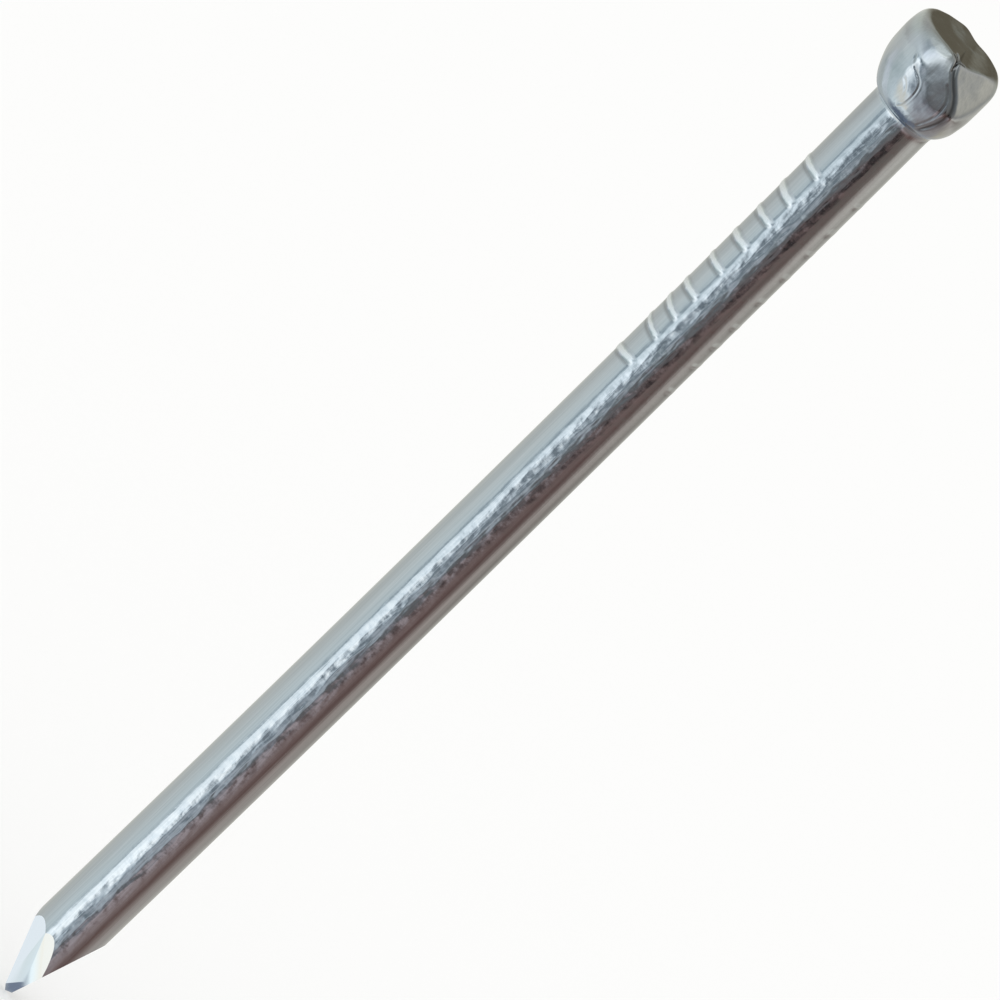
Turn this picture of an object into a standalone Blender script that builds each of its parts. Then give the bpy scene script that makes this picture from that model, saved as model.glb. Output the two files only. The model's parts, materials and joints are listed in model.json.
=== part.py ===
"""A track nail: the small lost-head wire nail that pins model railway track to its baseboard.

The nail is one length of steel wire. A pair of grip dies clamps the wire, which leaves a ladder of
fine ribs on two opposite sides, while a punch upsets one end into the bulbous head. Two V-shaped
cutters then pinch the other end off into a four-sided diamond point.

Frame: +Z runs up the shank towards the head, and +X and -X point at the two grip dies. The origin
is on the axis at the neck, where the head starts, so the shank below it is what goes into the wood.
"""

import math

import bmesh
import bpy
from mathutils import Matrix, Vector

MM = 0.001

# Driving dimensions.
WIRE_DIAMETER = 0.80 * MM
OVERALL_LENGTH = 16.0 * MM
HEAD_DIAMETER = 1.24 * MM
HEAD_HEIGHT = 1.0 * MM

# Head: a rounded shoulder up to the belly, then a squarer crown in to the flat striking face.
BELLY_HEIGHT = 0.60 * MM
STRIKING_FACE_DIAMETER = 0.90 * MM
SHOULDER_SQUARENESS = 1.9  # exponent of a superellipse: 2 is a quarter ellipse, and more is squarer
CROWN_SQUARENESS = 2.5
HEAD_LEAN = 0.09  # sideways shift of the head for each unit of height above the neck
HEAD_LEAN_DEG = 161.0
CREASE_WIDTH = 0.40 * MM
CREASE_DEPTH = 0.04 * MM
CREASE_OFFSET = 0.04 * MM
CREASE_DEG = 68.0

# Shank: the dies squeeze it a little fatter towards the head, and leave the ribs.
SWELL_LENGTH = 4.4 * MM
SWELL_HEIGHT = 0.014 * MM
RIB_COUNT = 9
RIB_PITCH = 0.375 * MM
RIB_WIDTH = 0.10 * MM
RIB_HEIGHT = 0.012 * MM
FIRST_RIB_BELOW_NECK = 1.19 * MM
RIB_HALF_SPREAD_DEG = 56.0
RIB_FADE_DEG = 16.0

# Diamond point: each cutter comes from one die's side and leaves two facets, which meet in a ridge.
# Its reach is how far up the wire the facets start, and its inset how far off the axis they end.
CUTTERS = (
    {"azimuth_deg": 0.0, "reach": 1.29 * MM, "inset": 0.013 * MM},
    {"azimuth_deg": 180.0, "reach": 1.11 * MM, "inset": 0.045 * MM},
)
FACET_SPREAD_DEG = 26.0
BREAK_TILT_DEG = 50.0  # slope of the small broken face at the very tip, which rises towards +X

# Fineness of the mesh.
SIDES = 60
SHOULDER_ROWS = 9
CROWN_ROWS = 9
PLAIN_SHANK_ROWS = 6
CREST_SHARE = 0.3  # of the rib's width that stays at full height
MERGE_DISTANCE = 1e-7

WIRE_RADIUS = WIRE_DIAMETER / 2
NECK_RADIUS = WIRE_RADIUS + SWELL_HEIGHT
TIP_Z = HEAD_HEIGHT - OVERALL_LENGTH


def smooth_step(value):
    """0 below 0, 1 above 1, and an S-curve between them."""
    t = min(1.0, max(0.0, value))
    return t * t * (3 - 2 * t)


def shank_radius(z):
    """The plain shank, which swells slightly over the last stretch below the neck."""
    return WIRE_RADIUS + SWELL_HEIGHT * smooth_step(1 + z / SWELL_LENGTH)


def quarter_arc(rows, squareness):
    """(across, along) from (0, 1) round to (1, 0), on a quarter of a superellipse."""
    turns = [math.pi / 2 * row / rows for row in range(rows + 1)]
    power = 2 / squareness
    return [(max(0.0, math.sin(t)) ** power, max(0.0, math.cos(t)) ** power) for t in turns]


def head_profile():
    """(radius, z) down the head: striking face, crown, belly, and the shoulder as far as the neck."""
    face_radius = STRIKING_FACE_DIAMETER / 2
    belly_radius = HEAD_DIAMETER / 2
    points = [(0.0, HEAD_HEIGHT)]
    for across, along in quarter_arc(CROWN_ROWS, CROWN_SQUARENESS):
        radius = face_radius + (belly_radius - face_radius) * across
        points.append((radius, BELLY_HEIGHT + (HEAD_HEIGHT - BELLY_HEIGHT) * along))
    for across, along in quarter_arc(SHOULDER_ROWS, SHOULDER_SQUARENESS)[1:-1]:
        radius = NECK_RADIUS + (belly_radius - NECK_RADIUS) * along
        points.append((radius, BELLY_HEIGHT * (1 - across)))
    return points


def rib_heights():
    """The height on the shank of the middle of each rib, top to bottom."""
    return [-FIRST_RIB_BELOW_NECK - RIB_PITCH * rib for rib in range(RIB_COUNT)]


def shank_profile():
    """(radius, z) down the shank: four rows for each rib, a few plain ones, and the square end of the wire."""
    heights = [0.0]
    for middle in rib_heights():
        for share in (0.5, CREST_SHARE / 2, -CREST_SHARE / 2, -0.5):
            heights.append(middle + RIB_WIDTH * share)
    last_rib = heights[-1]
    for row in range(1, PLAIN_SHANK_ROWS + 1):
        heights.append(last_rib + (TIP_Z - last_rib) * row / PLAIN_SHANK_ROWS)
    return [(shank_radius(z), z) for z in heights] + [(0.0, TIP_Z)]


def turned_mesh(name, points):
    """Turns a profile of (radius, z) points, listed top to bottom, about Z and returns it as a mesh."""
    mesh = bpy.data.meshes.new(name + "_profile")
    mesh.from_pydata([(r, 0, z) for r, z in points], [(i, i + 1) for i in range(len(points) - 1)], [])
    profile = bpy.data.objects.new(name + "_profile", mesh)
    bpy.context.scene.collection.objects.link(profile)
    screw = profile.modifiers.new("Turn", "SCREW")
    screw.axis = "Z"
    screw.steps = SIDES
    screw.render_steps = SIDES
    screw.use_merge_vertices = True
    screw.merge_threshold = MERGE_DISTANCE
    turned = evaluated_mesh(profile, name)
    bpy.data.objects.remove(profile)
    return turned


def evaluated_mesh(obj, name):
    """A plain mesh of the object with its modifiers applied."""
    graph = bpy.context.evaluated_depsgraph_get()
    mesh = bpy.data.meshes.new_from_object(obj.evaluated_get(graph))
    mesh.name = name
    return mesh


def rib_share(height, azimuth):
    """How much of a rib's full height stands at this place on the shank, from 0 to 1."""
    from_middle = min(abs(height - middle) for middle in rib_heights()) / RIB_WIDTH
    across = smooth_step((0.5 - from_middle) / (0.5 - CREST_SHARE / 2))
    from_die = min(abs(azimuth), 180 - abs(azimuth))
    around = smooth_step((RIB_HALF_SPREAD_DEG - from_die) / RIB_FADE_DEG)
    return across * around


def raise_ribs(mesh):
    """Pushes the rows of each rib out on the two sides that the dies gripped."""
    lowest = rib_heights()[-1] - RIB_WIDTH
    for vertex in mesh.vertices:
        x, y, z = vertex.co
        radius = math.hypot(x, y)
        if lowest < z < 0 and radius > 0:
            azimuth = math.degrees(math.atan2(y, x))
            stretch = 1 + RIB_HEIGHT * rib_share(z, azimuth) / radius
            vertex.co = (x * stretch, y * stretch, z)


def toward_lean(distance):
    """The (x, y) of a step of this length in the direction that the head leans."""
    turn = math.radians(HEAD_LEAN_DEG)
    return distance * math.cos(turn), distance * math.sin(turn)


def lean_head(mesh):
    """Shears the head to one side, as the punch left it. The striking face stays level."""
    for vertex in mesh.vertices:
        if vertex.co.z > 0:
            vertex.co += Vector((*toward_lean(HEAD_LEAN * vertex.co.z), 0))


def add_cutter(name, size, matrix, collection):
    """A box of this size, which the render and the build leave out, as a tool for a Boolean."""
    shape = bmesh.new()
    bmesh.ops.create_cube(shape, size=1.0, matrix=matrix @ Matrix.Diagonal((*size, 1)))
    mesh = bpy.data.meshes.new(name)
    shape.to_mesh(mesh)
    shape.free()
    cutter = bpy.data.objects.new(name, mesh)
    cutter.hide_render = True
    cutter.display_type = "WIRE"
    collection.objects.link(cutter)
    return cutter


def facet_cutter(name, azimuth_deg, reach, inset, collection):
    """A box whose inner face is one facet of the point, leaning in from the shank's surface to the tip."""
    side = 2 * reach
    matrix = (
        Matrix.Translation((0, 0, TIP_Z))
        @ Matrix.Rotation(math.radians(azimuth_deg), 4, "Z")
        @ Matrix.Translation((inset, 0, 0))
        @ Matrix.Rotation(math.atan((WIRE_RADIUS - inset) / reach), 4, "Y")
        @ Matrix.Translation((side / 2, 0, 0))
    )
    return add_cutter(name, (side, side, 2 * side), matrix, collection)


def point_cutters(collection):
    """The four facets of the diamond, and the oblique face where the wire broke off between the cutters."""
    tools = []
    for number, cutter in enumerate(CUTTERS, start=1):
        for side, spread in (("front", -FACET_SPREAD_DEG), ("back", FACET_SPREAD_DEG)):
            azimuth_deg = cutter["azimuth_deg"] + spread
            name = f"cutter_{number}_{side}"
            tools.append(facet_cutter(name, azimuth_deg, cutter["reach"], cutter["inset"], collection))
    corner = CUTTERS[1]["inset"] / math.cos(math.radians(FACET_SPREAD_DEG))
    matrix = (
        Matrix.Translation((-corner, 0, TIP_Z))
        @ Matrix.Rotation(-math.radians(BREAK_TILT_DEG), 4, "Y")
        @ Matrix.Translation((0, 0, -WIRE_RADIUS))
    )
    tools.append(add_cutter("tip_break", (WIRE_DIAMETER,) * 3, matrix, collection))
    return tools


def crease_cutter(collection):
    """A flattened bar, lying corner down, that presses the shallow V across the striking face."""
    half_side = CREASE_WIDTH / math.sqrt(2)
    matrix = (
        Matrix.Translation((0, 0, HEAD_HEIGHT))
        @ Matrix.Rotation(math.radians(CREASE_DEG), 4, "Z")
        @ Matrix.Translation((0, -CREASE_OFFSET, 0))
        @ Matrix.Diagonal((1, 1, 2 * CREASE_DEPTH / CREASE_WIDTH, 1))
        @ Matrix.Rotation(math.pi / 4, 4, "X")
    )
    return add_cutter("crease_cutter", (2 * HEAD_DIAMETER, half_side, half_side), matrix, collection)


def zinc_plate():
    """Bright electroplated zinc over steel."""
    material = bpy.data.materials.new("zinc_plate")
    material.use_nodes = True
    shader = material.node_tree.nodes["Principled BSDF"]
    shader.inputs["Base Color"].default_value = (0.52, 0.54, 0.55, 1)
    shader.inputs["Metallic"].default_value = 1.0
    shader.inputs["Roughness"].default_value = 0.28
    material.diffuse_color = (0.52, 0.54, 0.55, 1)
    return material


def build():
    for obj in list(bpy.data.objects):
        bpy.data.objects.remove(obj)
    parts = bpy.data.collections.new("track_nail")
    cutters = bpy.data.collections.new("cutters")
    bpy.context.scene.collection.children.link(parts)
    bpy.context.scene.collection.children.link(cutters)

    mesh = turned_mesh("track_nail", head_profile() + shank_profile())
    raise_ribs(mesh)
    lean_head(mesh)
    blank = bpy.data.objects.new("blank", mesh)
    parts.objects.link(blank)
    for tool in [*point_cutters(cutters), crease_cutter(cutters)]:
        cut = blank.modifiers.new(tool.name, "BOOLEAN")
        cut.operation = "DIFFERENCE"
        cut.object = tool

    finished = evaluated_mesh(blank, "track_nail")
    bpy.data.objects.remove(blank)
    finished.shade_smooth()
    finished.set_sharp_from_angle(angle=math.radians(25))
    finished.materials.clear()
    finished.materials.append(zinc_plate())
    parts.objects.link(bpy.data.objects.new("track_nail", finished))


build()
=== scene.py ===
import json
import math

import bmesh
import bpy
import numpy as np
from mathutils import Matrix, Vector, noise


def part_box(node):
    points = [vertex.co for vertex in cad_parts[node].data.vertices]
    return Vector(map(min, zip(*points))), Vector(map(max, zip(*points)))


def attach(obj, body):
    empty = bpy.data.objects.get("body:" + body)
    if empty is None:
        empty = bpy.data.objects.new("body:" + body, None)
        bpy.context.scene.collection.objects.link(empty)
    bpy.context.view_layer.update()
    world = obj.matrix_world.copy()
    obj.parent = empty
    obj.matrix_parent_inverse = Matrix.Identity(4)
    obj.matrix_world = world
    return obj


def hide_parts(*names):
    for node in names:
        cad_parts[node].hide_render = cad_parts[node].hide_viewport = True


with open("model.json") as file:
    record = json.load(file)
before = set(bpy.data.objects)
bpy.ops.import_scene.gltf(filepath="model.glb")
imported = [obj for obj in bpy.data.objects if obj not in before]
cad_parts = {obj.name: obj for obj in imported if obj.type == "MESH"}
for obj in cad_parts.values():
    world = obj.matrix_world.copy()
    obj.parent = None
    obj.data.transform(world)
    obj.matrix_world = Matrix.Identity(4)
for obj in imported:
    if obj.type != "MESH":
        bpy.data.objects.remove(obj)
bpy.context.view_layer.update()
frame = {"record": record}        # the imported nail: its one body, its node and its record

mm = 0.001
scene = bpy.context.scene

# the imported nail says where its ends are, and its shank mount says how thick the wire is
nailLow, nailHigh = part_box("track_nail")
shankMount = next(m for m in frame["record"]["mounts"] if m["name"] == "shank")
wireRadius = shankMount["dims"]["r_mm"] * mm
tipZ = nailLow[2]
topZ = nailHigh[2]
print("frame loaded, nail from", round(tipZ / mm, 3), "to", round(topZ / mm, 3), "mm")


def rgb(hexCode, gain=1.0):
    # sRGB hex to linear light
    parts = [int(hexCode[i:i + 2], 16) / 255 for i in (0, 2, 4)]
    linear = [p / 12.92 if p <= 0.04045 else ((p + 0.055) / 1.055) ** 2.4 for p in parts]
    return (*[c * gain for c in linear], 1.0)


def addNode(tree, kind, settings=None, inputs=None):
    # one node, its settings, and its inputs: an output socket is linked and anything else is a value
    node = tree.nodes.new(kind)
    for name, value in (settings or {}).items():
        setattr(node, name, value)
    for name, value in (inputs or {}).items():
        if isinstance(value, bpy.types.NodeSocket):
            tree.links.new(value, node.inputs[name])
        else:
            node.inputs[name].default_value = value
    return node


def smoothStep(value):
    t = np.clip(value, 0.0, 1.0)
    return t * t * (3 - 2 * t)


# ---- camera: above the head end, and turned so that the nail runs from corner to corner ----

cameraView = {
    "azimuth": -19.0,       # degrees round from the front
    "elevation": 20.16,
    "nailTilt": 44.46,      # how far the nail leans from level in the view
    "distance": 136 * mm,
    "lens": 440.3,
    "aside": (0.253 * mm, 0.343 * mm),
    "clip": (1 * mm, 2.0),
}
# the nail's front looks this way on the floor plan, in degrees
frontAngle = cameraView["azimuth"] - 90


def viewAxes():
    # right and back of a level camera, on the floor plan
    turn = math.radians(cameraView["azimuth"])
    return Vector((math.cos(turn), math.sin(turn), 0)), Vector((math.sin(turn), -math.cos(turn), 0))


def makeCamera():
    levelRight, levelBack = viewAxes()
    rise = math.radians(cameraView["elevation"])
    lean = math.radians(cameraView["nailTilt"])
    back = levelBack * math.cos(rise) + Vector((0, 0, math.sin(rise)))
    levelUp = back.cross(levelRight)
    right = levelUp * math.cos(lean) + levelRight * math.sin(lean)
    up = levelUp * math.sin(lean) - levelRight * math.cos(lean)
    data = bpy.data.cameras.new("camera")
    data.lens = cameraView["lens"]
    data.clip_start, data.clip_end = cameraView["clip"]
    camera = bpy.data.objects.new("camera", data)
    scene.collection.objects.link(camera)
    middle = Vector((0, 0, (tipZ + topZ) / 2))
    aside, lift = cameraView["aside"]
    place = middle + back * cameraView["distance"] + right * aside + up * lift
    camera.matrix_world = Matrix.Translation(place) @ Matrix((right, up, back)).transposed().to_4x4()
    scene.camera = camera


makeCamera()
print("camera set")

# ---- zinc plate on drawn wire ----

# Electroplated zinc a little dulled by handling: a clear, slightly blue metal. The wire under it was
# pulled through a die, so its sides carry long fine lines, and its front rubbed on the feed rollers,
# which left shallow flame-shaped dents there.
zincPlate = {
    "colours": ("b9bec1", "cfd3d6"),
    "roughness": (0.05, 0.09),
    # each texture: size across and along the wire in mm, then its depth, how much of it is on the head,
    # and how much on the shank away from the rubbed side
    "flames": {"across": 0.080, "along": 0.30, "detail": 1.0, "deep": 0.0115 * mm,
               "onHead": 0.12, "unrubbed": 0.05},
    "lines": {"across": 0.018, "along": 1.1, "detail": 1.0, "deep": 0.0005 * mm,
              "onHead": 0.10, "unrubbed": 1.0},
    "pebbles": {"across": 0.11, "along": 0.13, "detail": 1.5, "deep": 0.0030 * mm,
                "onHead": 1.0, "unrubbed": 0.15},
    # real crystals are a few micrometres, drawn coarser so that they show
    "grain": {"across": 0.022, "along": 0.035, "detail": 1.0, "deep": 0.00025 * mm,
              "onHead": 0.6, "unrubbed": 0.8},
    "onCut": 0.1,                 # how much of every texture is on the cut facets
    "grainRange": (0.3, 0.7),     # the part of the grain noise that goes from smooth to rough
    # the tops of the ribs are rubbed bare, brighter than the plate but not as smooth; the cut facets of the
    # point get the same lighter colour as a painted highlight, and a finish less smooth than the plate
    "bareRoughness": (0.34, 0.12),
    "ribWear": (0.25, 0.8),       # how far up a rib the wear starts, and where it is complete
    "bareAndHighlightColour": "f6f8f9",
    # painted shade: a dark colour laid into the folds and cracks of the head and along the tip side of each
    # rib
    "paintedShadeColour": "4a4644",
}


def roughenPlate(tree, point, marks):
    # the noises of the plate's textures by name, and the surface with all of them pressed in
    noises = {}
    surface = None
    for name in ("flames", "lines", "pebbles", "grain"):
        layer = zincPlate[name]
        stretched = addNode(tree, "ShaderNodeMapping", None, {
            "Vector": point, "Scale": (1.0, 1.0, layer["across"] / layer["along"])}).outputs[0]
        noises[name] = addNode(tree, "ShaderNodeTexNoise", None, {
            "Vector": stretched, "Scale": 1 / layer["across"], "Detail": layer["detail"]}).outputs[0]
        onShank = addNode(tree, "ShaderNodeMapRange", None, {
            "Value": marks["rubbed"], "To Min": layer["unrubbed"], "To Max": 1.0}).outputs[0]
        amount = addNode(tree, "ShaderNodeMapRange", None, {
            "Value": marks["drawn"], "To Min": layer["onHead"], "To Max": onShank}).outputs[0]
        amount = addNode(tree, "ShaderNodeMapRange", None, {
            "Value": marks["cut"], "To Min": amount, "To Max": zincPlate["onCut"]}).outputs[0]
        height = addNode(tree, "ShaderNodeMath", {"operation": "MULTIPLY"}, {0: noises[name], 1: amount})
        bump = addNode(tree, "ShaderNodeBump", None, {
            "Height": height.outputs[0], "Distance": layer["deep"], "Strength": 1.0})
        if surface:
            tree.links.new(surface, bump.inputs["Normal"])
        surface = bump.outputs[0]
    return noises, surface


def makeZincPlate():
    material = bpy.data.materials.new("zincPlatedWire")
    material.use_nodes = True
    tree = material.node_tree
    tree.nodes.clear()
    place = addNode(tree, "ShaderNodeTexCoord").outputs["Object"]
    point = addNode(tree, "ShaderNodeVectorMath", {"operation": "SCALE"}, {
        0: place, "Scale": 1 / mm}).outputs[0]
    marks = {}
    for name in ("drawn", "rubbed", "cut", "rib", "paintedShade", "ribPaintedShade"):
        marks[name] = addNode(tree, "ShaderNodeAttribute", {"attribute_name": name}).outputs["Fac"]
    noises, surface = roughenPlate(tree, point, marks)

    dark, pale = zincPlate["colours"]
    tint = addNode(tree, "ShaderNodeMix", {"data_type": "RGBA"}, {
        0: noises["lines"], 6: rgb(dark), 7: rgb(pale)}).outputs[2]
    smoothPart, roughPart = zincPlate["grainRange"]
    gloss = addNode(tree, "ShaderNodeMapRange", None, {
        "Value": noises["grain"], "From Min": smoothPart, "From Max": roughPart,
        "To Min": zincPlate["roughness"][0], "To Max": zincPlate["roughness"][1]}).outputs[0]
    wearStart, wornBare = zincPlate["ribWear"]
    worn = addNode(tree, "ShaderNodeMapRange", None, {
        "Value": marks["rib"], "From Min": wearStart, "From Max": wornBare}).outputs[0]
    # the rib tops take the lighter colour as wear, and the cut facets take it as a painted highlight
    for share, roughness in zip((worn, marks["cut"]), zincPlate["bareRoughness"]):
        gloss = addNode(tree, "ShaderNodeMix", {"data_type": "FLOAT"}, {
            0: share, 2: gloss, 3: roughness}).outputs[0]
        tint = addNode(tree, "ShaderNodeMix", {"data_type": "RGBA"}, {
            0: share, 6: tint, 7: rgb(zincPlate["bareAndHighlightColour"])}).outputs[2]
    # painted shade: the folds, the cracks and the tip side of each rib are darkened towards the painted shade
    # colour
    paintedShade = addNode(tree, "ShaderNodeMath", {"operation": "MAXIMUM"}, {0: marks["paintedShade"], 1: marks["ribPaintedShade"]})
    tint = addNode(tree, "ShaderNodeMix", {"data_type": "RGBA"}, {
        0: paintedShade.outputs[0], 6: tint, 7: rgb(zincPlate["paintedShadeColour"])}).outputs[2]
    shader = addNode(tree, "ShaderNodeBsdfPrincipled", None, {
        "Base Color": tint, "Metallic": 1.0, "Roughness": gloss, "Normal": surface})
    addNode(tree, "ShaderNodeOutputMaterial", None, {"Surface": shader.outputs[0]})
    return material


# ---- the nail ----

nail = {
    "segments": 200,
    "crowd": 0.5,                 # how much closer the segments stand at the front than at the back
    "faceRadius": 0.45 * mm,
    "bellyRadius": 0.62 * mm,
    "bellyHeight": 0.60 * mm,
    "shoulderSquareness": 1.9,    # exponent of a superellipse: 2 is an ellipse, and more is squarer
    "crownSquareness": 2.5,
    "swellLength": 4.4 * mm,      # the dies leave the wire a little fatter over this length
    "swellHeight": 0.014 * mm,
    "taper": 0.011 * mm,          # and the wire is this much fatter at the point than at the neck
    "neckEase": (0.10 * mm, 0.16 * mm),    # the corner under the head: crisp on the left, soft on the right
    "neckPasses": (6, 40),
    "neckTurn": (-30, 40),        # where crisp turns into soft, and at the back into crisp again
    "neckTurnBack": (110, 170),
    "headLean": 0.09,             # the head leans to its left
    "bow": 0.032 * mm,            # and the shank bends to the right in its middle
    "bowMiddle": -6.5 * mm,
    "bowHalf": 6.8 * mm,
    "ribZone": (-1.05 * mm, -4.35 * mm),
    "pointZone": 1.5 * mm,
    "cutSlope": 0.1,              # a face of the point that slopes more than this was cut
    "drawnFrom": 0.35 * mm,       # the marks of drawing run out over this height of the head
    "rubTurn": 3.0,               # the rubbed side: the turn of its middle, and how far it reaches
    "rubHalf": 20.0,
    "creaseAngle": 35,
    "touching": 1e-8,             # places closer than this are the same place
}
# how finely it is divided: rings or rows on the head, and steps along the shank
nailRows = {
    "face": 24,
    "crown": 30,
    "shoulder": 44,
    "neckEnd": -0.17 * mm,
    "neckStep": 0.014 * mm,
    "plainStep": 0.1 * mm,
    "ribStep": 0.02 * mm,
    "pointStep": 0.05 * mm,
    "pastTip": 0.1 * mm,          # the blank is longer than the nail, and the cutters take the rest
}

# What the upsetting die left on the head. Directions are degrees round from the front, plus to the
# right, and heights are above the neck.
headBulges = (
    {"turn": 105, "height": 0.92 * mm, "wide": 34, "tall": 0.27 * mm, "out": 0.046 * mm},
    {"turn": -100, "height": 0.86 * mm, "wide": 36, "tall": 0.24 * mm, "out": -0.010 * mm},
    {"turn": -95, "height": 0.36 * mm, "wide": 30, "tall": 0.20 * mm, "out": 0.012 * mm},
    {"turn": 42, "height": 0.48 * mm, "wide": 17, "tall": 0.36 * mm, "out": 0.045 * mm},
    {"turn": -17, "height": 0.72 * mm, "wide": 11, "tall": 0.12 * mm, "out": 0.016 * mm},
)
headFlats = (
    {"turn": 9, "rise": 2, "reach": 0.578 * mm, "soft": 0.034 * mm},
    {"turn": 47, "rise": 24.5, "reach": 0.526 * mm, "soft": 0.018 * mm},
    {"turn": -15, "rise": 46, "reach": 0.632 * mm, "soft": 0.009 * mm},
)
# each fold: a path of turn and height, its width and depth, its lip, and the painted shade laid in it
headFolds = (
    {"path": ((-12, 0.13), (-7, 0.22), (-6, 0.38), (-10, 0.50), (-19, 0.57), (-28, 0.62), (-33, 0.70)),
     "wide": 0.010 * mm, "deep": 0.0040 * mm, "lip": 0.45, "paintedShade": 0.45},
    {"path": ((-15, 0.10), (-14, 0.25), (-18, 0.36), (-25, 0.42)),
     "wide": 0.012 * mm, "deep": 0.0022 * mm, "lip": 0.8, "paintedShade": 0.0},
    {"path": ((4, 0.99), (9, 0.88), (19, 0.76), (29, 0.64), (36, 0.50), (36, 0.34), (31, 0.16), (25, 0.0)),
     "wide": 0.026 * mm, "deep": 0.011 * mm, "lip": 0.25, "paintedShade": 0.75},
    {"path": ((13, 0.72), (22, 0.62), (27, 0.48), (27, 0.30), (22, 0.12)),
     "wide": 0.014 * mm, "deep": 0.0025 * mm, "lip": 0.5, "paintedShade": 0.35},
)
# the crack and pit where the folds meet at the edge of the striking face, as right and front in mm
headCracks = (
    {"path": ((0.045, 0.535), (0.01, 0.45), (-0.03, 0.37)), "wide": 0.016 * mm, "deep": 0.035 * mm},
    {"path": ((0.03, 0.50), (-0.06, 0.46)), "wide": 0.010 * mm, "deep": 0.010 * mm},
    {"path": ((0.03, 0.49), (0.11, 0.42)), "wide": 0.010 * mm, "deep": 0.012 * mm},
)
# Folds and cracks fade in over these heights, and their painted shade thins out sideways at the given fall
# rate.
# A lip stands beside each fold: its offset and width are in fold widths.
foldShape = {
    "fadeFrom": 0.03 * mm, "fadeOver": 0.12 * mm, "shadeFall": 0.8, "lipOffset": 2.1, "lipWide": 0.9,
}
crackShape = {"fadeFrom": 0.75 * mm, "fadeOver": 0.15 * mm, "shadeFall": 0.9}
headLumps = {"size": 0.17 * mm, "high": 0.0035 * mm, "fadeOver": 0.15 * mm, "seed": 5}
striking = {
    "fadeFrom": 0.5 * mm, "fadeOver": 0.45 * mm, "tilt": 0.025,
    "valleyTurn": 12, "valleyRight": 0.06 * mm, "valleyWide": 0.16 * mm, "valleyDeep": 0.03 * mm,
    "ridgeRight": -0.14 * mm, "ridgeWide": 0.13 * mm, "ridgeHigh": 0.034 * mm, "ridgeBack": 0.4 * mm,
}

# each cutter leaves two facets of the point: reach is how far above the tip they start, and inset how
# far off the axis they end
pointCutters = (
    {"azimuth": 0.0, "reach": 1.29 * mm, "inset": 0.041 * mm},
    {"azimuth": 180.0, "reach": 1.096 * mm, "inset": 0.027 * mm},
)
facetSpread = 26.0
# then the small faces at the tip: turn and fall say which way each one looks, and past is a place on it
tipFaces = (
    {"turn": -12.5, "fall": 10.1, "past": (-0.041 * mm, 0.408 * mm, 1.094 * mm)},
    {"turn": 0.0, "fall": 42.7, "past": (-0.076 * mm, 0.041 * mm, 0.125 * mm)},
)


def quarterArc(count, squareness):
    turns = [math.pi / 2 * i / count for i in range(count + 1)]
    power = 2 / squareness
    return [(abs(math.sin(t)) ** power, abs(math.cos(t)) ** power) for t in turns]


def shankRadius(z):
    swell = nail["swellHeight"] * float(smoothStep(1 + z / nail["swellLength"]))
    return wireRadius + swell + nail["taper"] * (z / tipZ - 0.5)


def evenRows(start, stop, step):
    count = max(1, round(abs(stop - start) / step))
    return [start + (stop - start) * i / count for i in range(1, count + 1)]


def nailProfile():
    # (radius, height) from the middle of the striking face out, over the belly and down to the tip
    neckRadius = shankRadius(0)
    rows = [(nail["faceRadius"] * i / nailRows["face"], topZ) for i in range(nailRows["face"])]
    for across, along in quarterArc(nailRows["crown"], nail["crownSquareness"]):
        radius = nail["faceRadius"] + (nail["bellyRadius"] - nail["faceRadius"]) * across
        rows.append((radius, nail["bellyHeight"] + (topZ - nail["bellyHeight"]) * along))
    for across, along in quarterArc(nailRows["shoulder"], nail["shoulderSquareness"])[1:]:
        radius = neckRadius + (nail["bellyRadius"] - neckRadius) * along
        rows.append((radius, nail["bellyHeight"] * (1 - across)))
    ribTop, ribEnd = nail["ribZone"]
    pointStart = tipZ + nail["pointZone"]
    neckEnd = nailRows["neckEnd"]
    heights = evenRows(0, neckEnd, nailRows["neckStep"])
    heights += evenRows(neckEnd, ribTop, nailRows["plainStep"])
    heights += evenRows(ribTop, ribEnd, nailRows["ribStep"])
    heights += evenRows(ribEnd, pointStart, nailRows["plainStep"])
    heights += evenRows(pointStart, tipZ - nailRows["pastTip"], nailRows["pointStep"])
    rows += [(shankRadius(z), z) for z in heights]
    return np.array(rows)


def easeNeck(rows, reach, passes):
    # rounds the corner where the head meets the shank
    rows = rows.copy()
    near = np.flatnonzero(np.abs(rows[:, 1]) < reach)
    for _ in range(passes):
        rows[near] = (rows[near - 1] + 2 * rows[near] + rows[near + 1]) / 4
    return rows


def heading(turn):
    # unit vector on the floor plan, turned from the front of the nail towards its right
    angle = math.radians(frontAngle + turn)
    return np.array((math.cos(angle), math.sin(angle), 0.0))


def turnOf(points):
    # how far round from the front each point is, in degrees, plus to the right
    return np.degrees(np.arctan2(points @ heading(90), points @ heading(0)))


def segmentAngles():
    # closer together towards the camera's side of the nail, where the head's small marks are
    front = math.radians(frontAngle)
    even = np.linspace(-math.pi, math.pi, nail["segments"], endpoint=False)
    return front + even - nail["crowd"] * np.sin(even)


def bell(value):
    return np.exp(-value * value)


def outwardOf(points):
    # away from the axis at each point, and nothing for a point on it
    flat = points * (1, 1, 0)
    return flat / np.maximum(np.linalg.norm(flat, axis=1), nail["touching"])[:, None]


def swellHead(points):
    for bulge in headBulges:
        near = bell((turnOf(points) - bulge["turn"]) / bulge["wide"])
        near *= bell((points[:, 2] - bulge["height"]) / bulge["tall"]) * (points[:, 2] > 0)
        points += near[:, None] * bulge["out"] * outwardOf(points)


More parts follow.
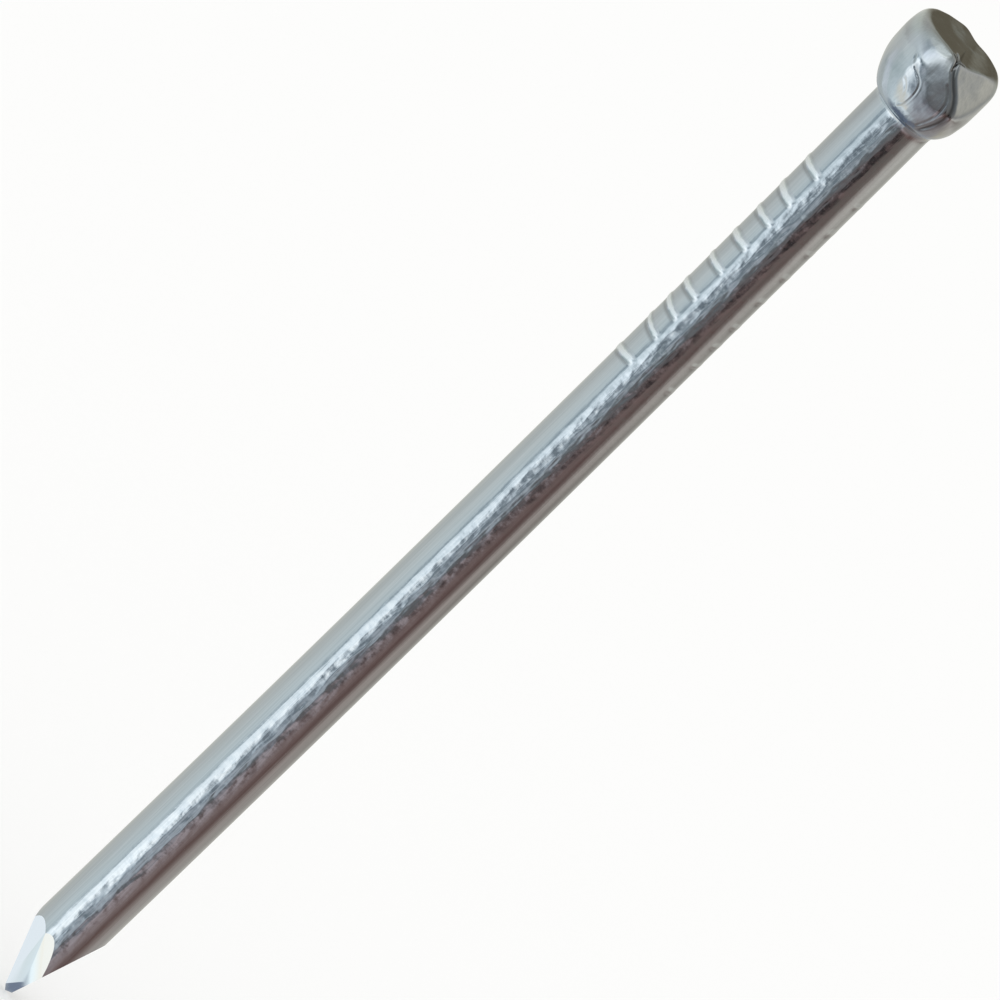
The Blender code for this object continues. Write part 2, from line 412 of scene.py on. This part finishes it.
def pressFlats(points):
    # a soft-edged flat: whatever stands beyond the plane is pushed back onto it
    head = points[:, 2] > 0
    for flat in headFlats:
        rise = math.radians(flat["rise"])
        normal = heading(flat["turn"]) * math.cos(rise) + np.array((0, 0, math.sin(rise)))
        centre = np.array((0, 0, nail["bellyHeight"]))
        beyond = (points - centre) @ normal - flat["reach"]
        pushed = flat["soft"] * np.logaddexp(0, beyond / flat["soft"])
        points[head] -= pushed[head, None] * normal


def smoothPath(path):
    # a smooth curve through the given places, in four steps from each to the next
    ends = [path[0], *path, path[-1]]
    curve = []
    for before, start, end, after in zip(ends, ends[1:], ends[2:], ends[3:]):
        for t in (0.0, 0.25, 0.5, 0.75):
            pull = [b - a for a, b in zip(before, end)], [b - a for a, b in zip(start, after)]
            curve.append([
                a + t * (b - a) + t * (1 - t) * ((1 - t) * (p / 2 - (b - a)) - t * (q / 2 - (b - a)))
                for a, b, p, q in zip(start, end, *pull)])
    return np.array(curve + [list(path[-1])])


def distanceTo(curve, places):
    # from each place to the nearest point of a line of short straight steps
    nearest = np.full(len(places), np.inf)
    for start, end in zip(curve, curve[1:]):
        step = end - start
        share = np.clip((places - start) @ step / (step @ step), 0, 1)
        nearest = np.minimum(nearest, np.linalg.norm(places - start - share[:, None] * step, axis=1))
    return nearest


def foldHead(points, paintedShade):
    # shallow creases with a raised lip, laid along curves given as turn and height
    unrolled = np.stack([np.radians(turnOf(points)) * nail["bellyRadius"], points[:, 2]], axis=1)
    for fold in headFolds:
        curve = smoothPath(fold["path"]) * (math.radians(1) * nail["bellyRadius"], mm)
        across = distanceTo(curve, unrolled) / fold["wide"]
        share = smoothStep((points[:, 2] - foldShape["fadeFrom"]) / foldShape["fadeOver"])
        lip = fold["lip"] * bell((across - foldShape["lipOffset"]) / foldShape["lipWide"])
        depth = fold["deep"] * (bell(across) - lip)
        points -= (depth * share)[:, None] * outwardOf(points)
        # painted shade: each fold lays its share of dark colour along the crease
        np.maximum(paintedShade, fold["paintedShade"] * bell(across * foldShape["shadeFall"]) * share, out=paintedShade)


def crackTop(points, paintedShade):
    # cracks in the striking face, laid along straight steps on its plan
    plan = np.stack([points @ heading(90), points @ heading(0)], axis=1)
    high = smoothStep((points[:, 2] - crackShape["fadeFrom"]) / crackShape["fadeOver"])
    for crack in headCracks:
        across = distanceTo(np.array(crack["path"]) * mm, plan) / crack["wide"]
        points[:, 2] -= crack["deep"] * bell(across) * high
        # painted shade: dark colour laid fully along each crack
        np.maximum(paintedShade, bell(across * crackShape["shadeFall"]) * high, out=paintedShade)


def lumpHead(points):
    # the small unevenness of upset metal
    noise.seed_set(headLumps["seed"])
    head = np.flatnonzero(points[:, 2] > 0)
    for index in head:
        place = Vector(points[index]) / headLumps["size"]
        share = smoothStep(points[index, 2] / headLumps["fadeOver"])
        points[index] += np.array(noise.noise_vector(place)) * headLumps["high"] * share


def shapeTop(points):
    # the striking face leans a little to the right, with a shallow valley across it and a ridge at its
    # back edge
    height = smoothStep((points[:, 2] - striking["fadeFrom"]) / striking["fadeOver"])
    right = points @ heading(90)
    acrossValley = points @ heading(90 + striking["valleyTurn"]) - striking["valleyRight"]
    valley = striking["valleyDeep"] * bell(acrossValley / striking["valleyWide"])
    fall = striking["tilt"] * (right + nail["faceRadius"]) + valley
    behind = smoothStep(-(points @ heading(0)) / striking["ridgeBack"])
    fall -= striking["ridgeHigh"] * bell((right - striking["ridgeRight"]) / striking["ridgeWide"]) * behind
    points[:, 2] -= height * fall


def bendShank(points):
    middle = (points[:, 2] - nail["bowMiddle"]) / nail["bowHalf"]
    points += nail["bow"] * (1 - middle ** 2)[:, None] * heading(90)


def nailPoints():
    # a grid of points, row by row, with the head's own shape worked in
    profile = nailProfile()
    crisp, soft = (easeNeck(profile, *ease) for ease in zip(nail["neckEase"], nail["neckPasses"]))
    angles = segmentAngles()
    turns = np.degrees(angles) - frontAngle
    start, full = nail["neckTurn"]
    fade, end = nail["neckTurnBack"]
    share = smoothStep((turns - start) / (full - start)) * smoothStep((end - turns) / (end - fade))
    rings = crisp[:, None, :] + share[None, :, None] * (soft - crisp)[:, None, :]
    x = rings[..., 0] * np.cos(angles)
    y = rings[..., 0] * np.sin(angles)
    points = np.stack([x, y, rings[..., 1]], axis=-1).reshape(-1, 3)
    swellHead(points)
    above = np.maximum(points[:, 2], 0)[:, None]
    points -= nail["headLean"] * above * heading(90)
    pressFlats(points)
    lumpHead(points)
    # painted shade of the folds and cracks, from 0 to 1 at each point
    paintedShade = np.zeros(len(points))
    foldHead(points, paintedShade)
    shapeTop(points)
    crackTop(points, paintedShade)
    return points, paintedShade


def nailBlank():
    # the turned skin, closed at both ends
    points, paintedShade = nailPoints()
    segments = nail["segments"]
    rows = len(points) // segments
    mesh = bpy.data.meshes.new("track_nail_fine")
    faces = []
    for row in range(rows - 1):
        for i in range(segments):
            j = (i + 1) % segments
            a, b = row * segments, (row + 1) * segments
            faces.append((a + i, b + i, b + j, a + j))
    faces.append(tuple(range((rows - 1) * segments, rows * segments)))
    mesh.from_pydata(points.tolist(), [], faces)
    # the painted shade goes onto the mesh as a point attribute
    mesh.attributes.new("paintedShade", "FLOAT", "POINT").data.foreach_set("value", paintedShade.astype(np.float32))
    shape = bmesh.new()
    shape.from_mesh(mesh)
    bmesh.ops.remove_doubles(shape, verts=shape.verts, dist=nail["touching"])
    return shape, mesh


def cutFlat(shape, place, normal):
    # slices everything beyond the plane away and closes the cut with one flat face
    geometry = shape.verts[:] + shape.edges[:] + shape.faces[:]
    cut = bmesh.ops.bisect_plane(
        shape, geom=geometry, dist=nail["touching"], plane_co=place, plane_no=normal, clear_outer=True)
    rim = [e for e in cut["geom_cut"] if isinstance(e, bmesh.types.BMEdge) and len(e.link_faces) < 2]
    bmesh.ops.holes_fill(shape, edges=rim, sides=0)


def cutPoint(shape):
    for cutter in pointCutters:
        slope = math.atan((wireRadius - cutter["inset"]) / cutter["reach"])
        for spread in (-facetSpread, facetSpread):
            turn = math.radians(cutter["azimuth"] + spread)
            outward = Vector((math.cos(turn), math.sin(turn), 0))
            normal = outward * math.cos(slope) - Vector((0, 0, math.sin(slope)))
            cutFlat(shape, Vector((0, 0, tipZ)) + outward * cutter["inset"], normal)
    for face in tipFaces:
        right, front, up = face["past"]
        fall = math.radians(face["fall"])
        place = Vector(heading(90)) * right + Vector(heading(0)) * front + Vector((0, 0, tipZ + up))
        cutFlat(shape, place, Vector(heading(face["turn"])) * math.cos(fall) - Vector((0, 0, math.sin(fall))))


def markSurface(mesh):
    # drawn is 1 on the wire's sides and 0 on the head, rubbed is 1 along the middle of the front, and
    # cut is 1 on the facets of the point
    places = np.array([v.co for v in mesh.vertices])
    drawn = smoothStep(1 - places[:, 2] / nail["drawnFrom"])
    rubbed = bell((turnOf(places) - nail["rubTurn"]) / nail["rubHalf"])
    middles = np.array([f.center for f in mesh.polygons])
    level = np.array([abs(f.normal.z) < nail["cutSlope"] for f in mesh.polygons])
    cut = (middles[:, 2] < tipZ + nail["pointZone"]) & ~level
    layers = (("drawn", "POINT", drawn), ("rubbed", "POINT", rubbed), ("cut", "FACE", cut))
    for name, domain, values in layers:
        layer = mesh.attributes.new(name, "FLOAT", domain)
        layer.data.foreach_set("value", values.astype(np.float32))


gripperRibs = {
    "Count": 9,
    "Pitch": 0.375 * mm,
    "First": 1.193 * mm,
    "Width": 0.115 * mm,
    "Height": 0.009 * mm,
    "Half spread": math.radians(56.0),
    "Fade": math.radians(14.0),
    "Wander": 0.089 * mm,         # they stand unevenly
    "Slant": 0.09 * mm,           # how far a rib may climb over one radian
    "Least slant": -0.3,          # and the least, as a share of that
    "Narrowest": 0.6,             # rib widths, as shares of Width
    "Widest": 1.25,
    "Flat top": 0.08,             # half the top that is level, as a share of the width
    "Ragged": 0.875,
    "Ragged scale": 14000.0,
    "Far die": 0.3,               # the right-hand die bit less deep
    "Die change": 0.1 * mm,
    "Painted shade offset": 0.070 * mm,    # painted shade lies along the tip side of each rib
    "Painted shade width": 0.085 * mm,
    "Painted shade": 0.42,
    "Place seed": 4007335,        # found by trying many, for ribs placed and tilted like the real ones
    "Slant seed": 3858734,
    "Width seed": 5,
}


def ribTree():
    # raises the ribs that the gripper dies leave on two sides of the shank
    tree = bpy.data.node_groups.new("gripperRibs", "GeometryNodeTree")
    face = tree.interface
    face.new_socket("Geometry", in_out="INPUT", socket_type="NodeSocketGeometry")
    for name, value in gripperRibs.items():
        kind = "NodeSocketInt" if isinstance(value, int) else "NodeSocketFloat"
        face.new_socket(name, in_out="INPUT", socket_type=kind)
    face.new_socket("Material", in_out="INPUT", socket_type="NodeSocketMaterial")
    face.new_socket("Geometry", in_out="OUTPUT", socket_type="NodeSocketGeometry")
    given = addNode(tree, "NodeGroupInput").outputs

    def calc(operation, first, second=0.0):
        return addNode(tree, "ShaderNodeMath", {"operation": operation}, {0: first, 1: second}).outputs[0]

    # which rib is nearest, counted down from the neck
    place = addNode(tree, "GeometryNodeInputPosition").outputs[0]
    split = addNode(tree, "ShaderNodeSeparateXYZ", None, {0: place}).outputs
    depth = calc("MULTIPLY", split["Z"], -1.0)
    step = calc("DIVIDE", calc("SUBTRACT", depth, given["First"]), given["Pitch"])
    lastRib = calc("SUBTRACT", given["Count"], 1.0)
    rib = calc("MAXIMUM", calc("MINIMUM", calc("ROUND", step), lastRib), 0.0)

    def perRib(low, high, seed):
        return addNode(tree, "FunctionNodeRandomValue", {"data_type": "FLOAT"}, {
            "Min": low, "Max": high, "ID": rib, "Seed": given[seed]}).outputs["Value"]

    # how far the surface is from the middle of that rib, with the rib's own shift and slant
    fromDie = calc("ARCTAN2", split["Y"], calc("ABSOLUTE", split["X"]))
    shift = calc("MULTIPLY", perRib(-1.0, 1.0, "Place seed"), given["Wander"])
    slant = calc("MULTIPLY", perRib(given["Least slant"], 1.0, "Slant seed"), given["Slant"])
    climb = calc("MULTIPLY", slant, fromDie)
    away = calc("MULTIPLY", calc("SUBTRACT", step, rib), given["Pitch"])
    away = calc("SUBTRACT", calc("SUBTRACT", away, shift), climb)

    # how much of it is raised: across the rib, around the shank and by each die
    rough = addNode(tree, "ShaderNodeTexNoise", None, {
        "Vector": place, "Scale": given["Ragged scale"], "Detail": 1.0}).outputs[0]
    rough = calc("MULTIPLY", calc("SUBTRACT", rough, 0.5), given["Ragged"])
    share = calc("ADD", perRib(given["Narrowest"], given["Widest"], "Width seed"), rough)
    width = calc("MULTIPLY", share, given["Width"])
    across = addNode(tree, "ShaderNodeMapRange", {"interpolation_type": "SMOOTHSTEP"}, {
        "Value": calc("ABSOLUTE", away), "From Min": calc("MULTIPLY", width, 0.5),
        "From Max": calc("MULTIPLY", width, given["Flat top"]), "To Min": 0.0, "To Max": 1.0}).outputs[0]
    around = addNode(tree, "ShaderNodeMapRange", {"interpolation_type": "SMOOTHSTEP"}, {
        "Value": calc("ABSOLUTE", fromDie), "From Min": given["Half spread"],
        "From Max": calc("SUBTRACT", given["Half spread"], given["Fade"]),
        "To Min": 0.0, "To Max": 1.0}).outputs[0]
    bite = addNode(tree, "ShaderNodeMapRange", None, {
        "Value": split["X"], "From Min": 0.0, "From Max": given["Die change"],
        "To Min": 1.0, "To Max": given["Far die"]}).outputs[0]
    pressed = calc("MULTIPLY", calc("GREATER_THAN", depth, 0.0), bite)
    amount = calc("MULTIPLY", calc("MULTIPLY", across, around), pressed)

    # the painted shade that lies along the tip side of each rib
    beside = calc("ABSOLUTE", calc("SUBTRACT", away, given["Painted shade offset"]))
    beside = addNode(tree, "ShaderNodeMapRange", {"interpolation_type": "SMOOTHSTEP"}, {
        "Value": beside, "From Min": calc("MULTIPLY", given["Painted shade width"], 0.5), "From Max": 0.0,
        "To Min": 0.0, "To Max": given["Painted shade"]}).outputs[0]
    ribPaintedShade = calc("MULTIPLY", calc("MULTIPLY", beside, around), pressed)

    outward = addNode(tree, "ShaderNodeCombineXYZ", None, {0: split["X"], 1: split["Y"]}).outputs[0]
    outward = addNode(tree, "ShaderNodeVectorMath", {"operation": "NORMALIZE"}, {0: outward}).outputs[0]
    offset = addNode(tree, "ShaderNodeVectorMath", {"operation": "SCALE"}, {
        0: outward, "Scale": calc("MULTIPLY", amount, given["Height"])}).outputs[0]
    shaped = addNode(tree, "GeometryNodeSetPosition", None, {
        "Geometry": given["Geometry"], "Offset": offset}).outputs[0]
    for name, value in (("rib", amount), ("ribPaintedShade", ribPaintedShade)):
        shaped = addNode(tree, "GeometryNodeStoreNamedAttribute", {"data_type": "FLOAT", "domain": "POINT"}, {
            "Geometry": shaped, "Name": name, "Value": value}).outputs[0]
    whole = addNode(tree, "GeometryNodeRealizeInstances", None, {0: shaped}).outputs[0]
    painted = addNode(tree, "GeometryNodeSetMaterial", None, {
        "Geometry": whole, "Material": given["Material"]}).outputs[0]
    addNode(tree, "NodeGroupOutput", None, {0: painted})
    return tree


def raiseRibs(blank, material):
    modifier = blank.modifiers.new("ribs", "NODES")
    modifier.node_group = ribTree()
    for item in modifier.node_group.interface.items_tree:
        if item.in_out == "INPUT" and item.name in gripperRibs:
            modifier[item.identifier] = gripperRibs[item.name]
        elif item.in_out == "INPUT" and item.name == "Material":
            modifier[item.identifier] = material
    graph = bpy.context.evaluated_depsgraph_get()
    mesh = bpy.data.meshes.new_from_object(blank.evaluated_get(graph))
    bpy.data.objects.remove(blank)
    return mesh


def sharpenCut(mesh):
    # the rim of every cut facet is a crisp edge
    shape = bmesh.new()
    shape.from_mesh(mesh)
    cut = shape.faces.layers.float["cut"]
    for edge in shape.edges:
        if len({face[cut] for face in edge.link_faces}) > 1:
            edge.smooth = False
    shape.to_mesh(mesh)
    shape.free()


def makeNail():
    material = makeZincPlate()
    shape, mesh = nailBlank()
    cutPoint(shape)
    bmesh.ops.recalc_face_normals(shape, faces=shape.faces)
    shape.to_mesh(mesh)
    shape.free()
    markSurface(mesh)
    points = np.array([v.co for v in mesh.vertices])
    bendShank(points)
    mesh.vertices.foreach_set("co", points.ravel())
    blank = bpy.data.objects.new("blank", mesh)
    scene.collection.objects.link(blank)
    finished = raiseRibs(blank, material)
    finished.name = "track_nail_fine"
    finished.shade_smooth()
    finished.set_sharp_from_angle(angle=math.radians(nail["creaseAngle"]))
    sharpenCut(finished)
    piece = bpy.data.objects.new("track_nail_fine", finished)
    scene.collection.objects.link(piece)
    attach(piece, "root")
    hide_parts("track_nail")
    print("nail made:", len(finished.polygons), "faces")


makeNail()

# ---- studio ----

studio = {
    "floorColour": "fdfdfc",
    "floorRoughness": 0.9,
    "paleColour": "ffffff",
    "floorSize": 1.6,
    "gain": 1.68,           # the dulled plate gives back about six tenths of the light
}

# What the metal mirrors: rings of soft panels round the nail, each at its own height. Every panel
# edge is given in degrees round from the camera, minus to its left and plus to its right. The colours
# are fitted to the streaks that the real nail shows from the front, so other views look plainer.
studioRings = (
    {"rise": -78, "panels": ((-180, "5a6372"), (180, "5a6372"))},
    {"rise": -62, "panels": (
        (-180, "9ba0a0"), (-100, "a8b0b4"), (-75, "afbabf"), (-58, "c0cbcf"), (0, "c9d1d5"),
        (18, "bcc3c7"), (28, "9aa0a4"), (48, "86888b"), (62, "6a6463"), (110, "7c7776"),
        (180, "9ba0a0"))},
    {"rise": -46, "panels": (
        (-180, "5f6c80"), (-155, "9aa09f"), (-130, "a2a8a8"), (-122, "b8bfc4"), (-98, "b8bfc4"),
        (-90, "aab4b6"), (-58, "b0babf"), (-44, "c4c3bb"), (2, "c8c5bd"), (14, "9da3a7"), (30, "8e8e92"),
        (44, "777070"), (90, "766f6f"), (120, "86807e"), (165, "7c8088"), (180, "5f6c80"))},
    {"rise": -32, "panels": (
        (-180, "5f6c80"), (-155, "a6a9a8"), (-124, "969c9c"), (-112, "b2b7be"), (-90, "99a4a6"),
        (-56, "a9b4b7"), (-46, "bcc6ca"), (-38, "cdd4d9"), (-4, "c8d0d4"), (12, "a5abb0"), (24, "8e8f94"),
        (42, "6d6664"), (90, "736d6d"), (120, "8a847e"), (150, "9f9a8d"), (180, "5f6c80"))},
    {"rise": -23.5, "panels": (
        (-180, "a6a69f"), (-110, "abaead"), (-60, "b4bec1"), (-53, "b4bec2"), (-47, "e8f0f4"),
        (-38, "f8fdff"), (-24, "f8fdff"), (-18, "d2dae0"), (-12, "a8b2ba"), (-4, "868f97"), (8, "989ea5"),
        (20, "67676d"), (36, "9a8f92"), (60, "766765"), (75, "5b4844"), (92, "7c6f6a"), (106, "928984"),
        (180, "a6a69f"))},
    {"rise": -20, "panels": (
        (-180, "a6a69f"), (-110, "abafae"), (-85, "b6bcbc"), (-58, "b2bcbf"), (-51, "7c8a92"),
        (-46, "ced9df"), (-32, "dfe9f0"), (-24, "7a848c"), (-16, "b0b9c0"), (-7, "59626a"), (7, "999fa5"),
        (18, "56585a"), (42, "5a4d4c"), (60, "6a5855"), (74, "564340"), (84, "6c5e5a"), (97, "968c86"),
        (128, "766f69"), (180, "a6a69f"))},
    {"rise": -17, "panels": (
        (-180, "a6a69f"), (-120, "999a98"), (-80, "b0b6b8"), (-60, "aab4b8"), (-54, "7c8992"),
        (-44, "b8c4ca"), (-38, "a2aeb5"), (-30, "667078"), (-20, "545e66"), (-12, "7e888f"),
        (-4, "6e787e"), (5, "80888e"), (15, "5a5e61"), (26, "625f60"), (34, "5c5859"), (39, "2b2627"),
        (51, "292424"), (57, "57504c"), (78, "68615c"), (90, "a09a94"), (106, "aeaaa3"), (135, "9c9992"),
        (180, "a6a69f"))},
    {"rise": -8, "panels": (
        (-180, "a09c91"), (-165, "b4b4ad"), (-145, "abada7"), (-110, "a9aeaa"), (-75, "b0b7ba"),
        (-58, "b9c2c6"), (-42, "c2cacf"), (-30, "d0d8dc"), (-12, "e3eaee"), (2, "dde4e8"), (14, "8a9094"),
        (28, "5e6060"), (60, "6c6a68"), (90, "706d6b"), (120, "858481"), (150, "90908a"),
        (180, "a09c91"))},
    {"rise": 4, "panels": (
        (-180, "4c463a"), (-170, "6e6a5f"), (-152, "b0b1a8"), (-120, "a9aca4"), (-75, "a6acad"),
        (-50, "a0a8ae"), (-40, "a4acb4"), (-32, "d4dce5"), (-12, "dce3ea"), (4, "d3d9dc"), (18, "a0a6a6"),
        (30, "676b6b"), (50, "616365"), (86, "706f6d"), (100, "98958d"), (120, "96938b"), (150, "97978d"),
        (168, "5c584d"), (180, "4c463a"))},
    {"rise": 20, "panels": (
        (-180, "565145"), (-168, "7f7d72"), (-140, "9f9f98"), (-105, "969792"), (-60, "a0a8a9"),
        (-44, "8a949a"), (-38, "98a2a8"), (-30, "bfc9ce"), (-15, "ced5dc"), (4, "e4e9ec"), (13, "a8acad"),
        (22, "757a7c"), (62, "65696c"), (85, "8a8985"), (100, "a8a49a"), (120, "a8a49a"), (140, "96938b"),
        (165, "5f5b50"), (180, "565145"))},
    {"rise": 42, "panels": (
        (-180, "83847c"), (-150, "96958f"), (-105, "8f8f8c"), (-75, "979b98"), (-55, "9ea5a5"),
        (-44, "989fa3"), (-34, "a8b1b7"), (-18, "dee4e6"), (-4, "dfe4e2"), (8, "8f9392"), (30, "7a7d7d"),
        (90, "9c9a98"), (125, "9c9a96"), (155, "7b7973"), (180, "83847c"))},
    {"rise": 66, "panels": (
        (-180, "787974"), (-120, "8c8d86"), (-60, "989d9b"), (-42, "b8bebd"), (-28, "c0c6c5"),
        (-12, "a3a8a5"), (10, "7c807e"), (90, "8c8b87"), (180, "787974"))},
)


def panelRamp(tree, place, panels):
    ramp = addNode(tree, "ShaderNodeValToRGB", None, {"Fac": place})
    stops = ramp.color_ramp.elements
    while len(stops) < len(panels):
        stops.new(0.5)
    for stop, (degrees, colour) in zip(stops, panels):
        stop.position = (degrees + 180) / 360
        stop.color = rgb(colour, studio["gain"])
    return ramp.outputs[0]


def makeWorld():
    world = bpy.data.worlds.new("studio")
    world.use_nodes = True
    scene.world = world
    world.cycles.sampling_method = "NONE"
    tree = world.node_tree
    tree.nodes.clear()
    direction = addNode(tree, "ShaderNodeTexCoord").outputs["Generated"]
    turned = addNode(tree, "ShaderNodeVectorRotate", {"rotation_type": "Z_AXIS"}, {
        "Vector": direction, "Angle": -math.radians(frontAngle)})
    split = addNode(tree, "ShaderNodeSeparateXYZ", None, {0: turned.outputs[0]}).outputs
    turn = addNode(tree, "ShaderNodeMath", {"operation": "ARCTAN2"}, {0: split["Y"], 1: split["X"]})
    place = addNode(tree, "ShaderNodeMapRange", None, {
        "Value": turn.outputs[0], "From Min": -math.pi, "From Max": math.pi}).outputs[0]
    mirrored = panelRamp(tree, place, studioRings[0]["panels"])
    for below, ring in zip(studioRings, studioRings[1:]):
        share = addNode(tree, "ShaderNodeMapRange", None, {
            "Value": split["Z"], "From Min": math.sin(math.radians(below["rise"])),
            "From Max": math.sin(math.radians(ring["rise"]))}).outputs[0]
        colour = panelRamp(tree, place, ring["panels"])
        mirrored = addNode(tree, "ShaderNodeMix", {"data_type": "RGBA"}, {
            0: share, 6: mirrored, 7: colour}).outputs[2]
    rays = addNode(tree, "ShaderNodeLightPath").outputs
    seen = addNode(tree, "ShaderNodeMix", {"data_type": "RGBA"}, {
        0: rays["Is Glossy Ray"], 6: rgb(studio["paleColour"]), 7: mirrored}).outputs[2]
    sky = addNode(tree, "ShaderNodeBackground", None, {"Color": seen, "Strength": 1.0})
    addNode(tree, "ShaderNodeOutputWorld", None, {"Surface": sky.outputs[0]})


def makeFloor():
    mesh = bpy.data.meshes.new("floor")
    half = studio["floorSize"] / 2
    corners = [(-half, -half, tipZ), (half, -half, tipZ), (half, half, tipZ), (-half, half, tipZ)]
    mesh.from_pydata(corners, [], [(0, 1, 2, 3)])
    floor = bpy.data.objects.new("floor", mesh)
    scene.collection.objects.link(floor)
    material = bpy.data.materials.new("paleFloor")
    material.use_nodes = True
    shader = material.node_tree.nodes["Principled BSDF"]
    shader.inputs["Base Color"].default_value = rgb(studio["floorColour"])
    shader.inputs["Roughness"].default_value = studio["floorRoughness"]
    shader.inputs["Specular IOR Level"].default_value = 0.0
    mesh.materials.append(material)
    # the metal mirrors the studio's soft panels and not the bare floor
    floor.visible_glossy = False
    floor.visible_shadow = False


makeWorld()
makeFloor()
scene.view_settings.view_transform = "Standard"
print("studio set")
